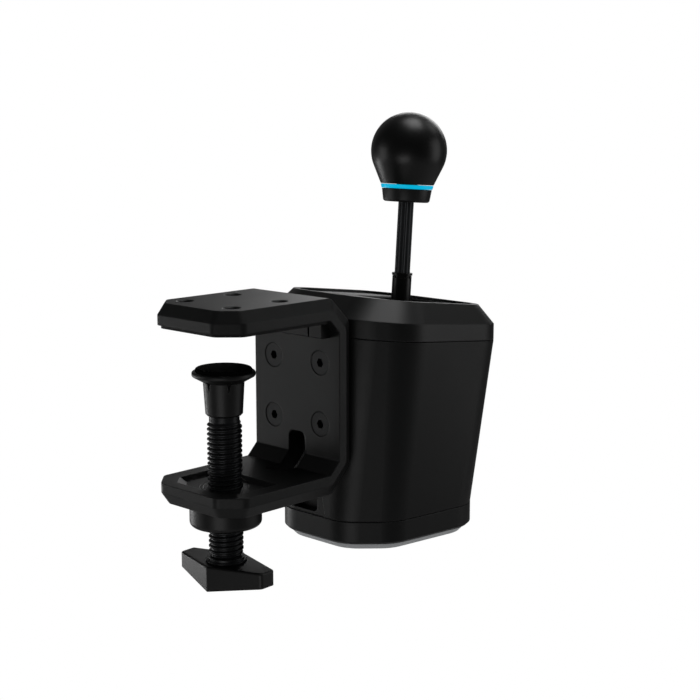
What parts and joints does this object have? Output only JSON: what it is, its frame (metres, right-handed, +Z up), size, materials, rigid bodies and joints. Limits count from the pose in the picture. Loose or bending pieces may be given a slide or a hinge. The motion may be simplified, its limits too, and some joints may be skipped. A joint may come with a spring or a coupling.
{
  "type": "sim racing gear shifter",
  "caption": "Desk-clamped gear shifter for a racing simulator: ball knob on a leaning lever in a gimbal, faceted tapering housing, and a C bracket with a screw clamp.",
  "frame": {"origin": "centre of the upper jaw's rubber face, on the clamp screw's axis, so the desk top is Z = 0", "axes": "+Z up along the clamp screw, +Y from the desk edge onto the desk, -Y towards the driver, +X across the desk edge"},
  "size_m": [0.1224, 0.2287, 0.282],
  "materials": {
    "bracket_paint": "fine texture, satin black",
    "body_paint": "fine texture, satin black",
    "bezel_paint": "fine texture, satin black",
    "foot_trim": "matt mid grey",
    "black_plastic": "matt black",
    "handle_plastic": "lightly textured black",
    "black_rubber": "smooth black",
    "black_steel": "blackened",
    "bright_steel": "ground",
    "spring_steel": "drawn wire",
    "cast_alloy": "as cast, lightly blasted",
    "bronze": "turned",
    "brass": "turned",
    "knob_shell": "satin black",
    "knob_cyan": "smooth cyan",
    "knob_grey": "satin dark grey",
    "circuit_green": "solder mask",
    "chip_black": "moulded",
    "magnet_nickel": "plated"
  },
  "bodies": {
    "housing": {"c_bracket": "bracket_paint", "jaw_pad": "black_rubber", "edge_stop": "black_rubber", "bracket_screws": "black_steel", "mount_spacer": "black_plastic", "screw_nut": "black_steel", "nut_bush": "black_steel", "body_shell": "body_paint", "top_bezel": "bezel_paint", "gate_plate": "black_steel", "gate_screws": "black_steel", "base_cap": "body_paint", "foot_plate": "foot_trim", "base_screws": "bright_steel", "connector_bay": "black_plastic", "data_socket": "bright_steel", "accessory_socket": "black_plastic", "chassis": "cast_alloy", "side_plate_left": "cast_alloy", "side_plate_right": "cast_alloy", "side_plate_screws": "bright_steel", "bearing_left": "bright_steel", "bearing_right": "bright_steel", "detent_plunger": "bright_steel", "bump_stops": "black_rubber", "pitch_sensor": "circuit_green", "main_board": "circuit_green", "board_parts": "chip_black", "board_screws": "bright_steel", "pitch_spring_front": "spring_steel", "pitch_spring_rear": "spring_steel"},
    "yoke": {"gimbal_yoke": "cast_alloy", "journal_circlips": "spring_steel", "pitch_magnet": "magnet_nickel", "cross_bushes": "bronze", "roll_sensor": "circuit_green"},
    "lever": {"lever_hub": "cast_alloy", "cross_shaft": "bright_steel", "shaft_circlips": "spring_steel", "roll_magnet": "magnet_nickel", "lever_sleeve": "black_steel", "height_collet": "black_steel", "dust_dome": "black_plastic", "roll_spring": "spring_steel"},
    "knob": {"lever_rod": "black_steel", "knob_body": "knob_shell", "knob_ring": "knob_cyan", "knob_neck": "knob_grey", "knob_insert": "brass"},
    "foot": {"pressure_foot": "black_plastic", "foot_rubber": "black_rubber"},
    "spindle": {"clamp_screw": "black_steel", "foot_circlip": "spring_steel", "handle_collar": "black_plastic", "clamp_handle": "handle_plastic", "handle_screw": "bright_steel"}
  },
  "joints": [
    {"name": "lever_pitch", "type": "hinge", "parent": "housing", "child": "yoke", "pos_m": [0, -0.1509, -0.0835], "axis": [1, 0, 0], "range_deg": [-11, 11], "stiffness_Nm_per_rad": 12, "deforming": ["pitch_spring_front", "pitch_spring_rear"]},
    {"name": "lever_roll", "type": "hinge", "parent": "yoke", "child": "lever", "pos_m": [0, -0.1509, -0.0835], "axis": [0, 0.9973, 0.0739], "range_deg": [-8, 8], "stiffness_Nm_per_rad": 6, "deforming": ["roll_spring"]},
    {"name": "lever_height", "type": "slide", "parent": "lever", "child": "knob", "axis": [0, -0.0739, 0.9973], "range_m": [-0.032, 0.018]},
    {"name": "screw_travel", "type": "slide", "parent": "housing", "child": "foot", "axis": [0, 0, 1], "range_m": [-0.0361, 0.0191]},
    {"name": "screw_turn", "type": "hinge", "parent": "foot", "child": "spindle", "pos_m": [0, 0, -0.1], "axis": [0, 0, 1], "range_deg": [-4320, 2280]}
  ],
  "couplings": [
    {"joint": "screw_travel", "follows": "screw_turn", "m_per_rad": 0.00047746}
  ]
}
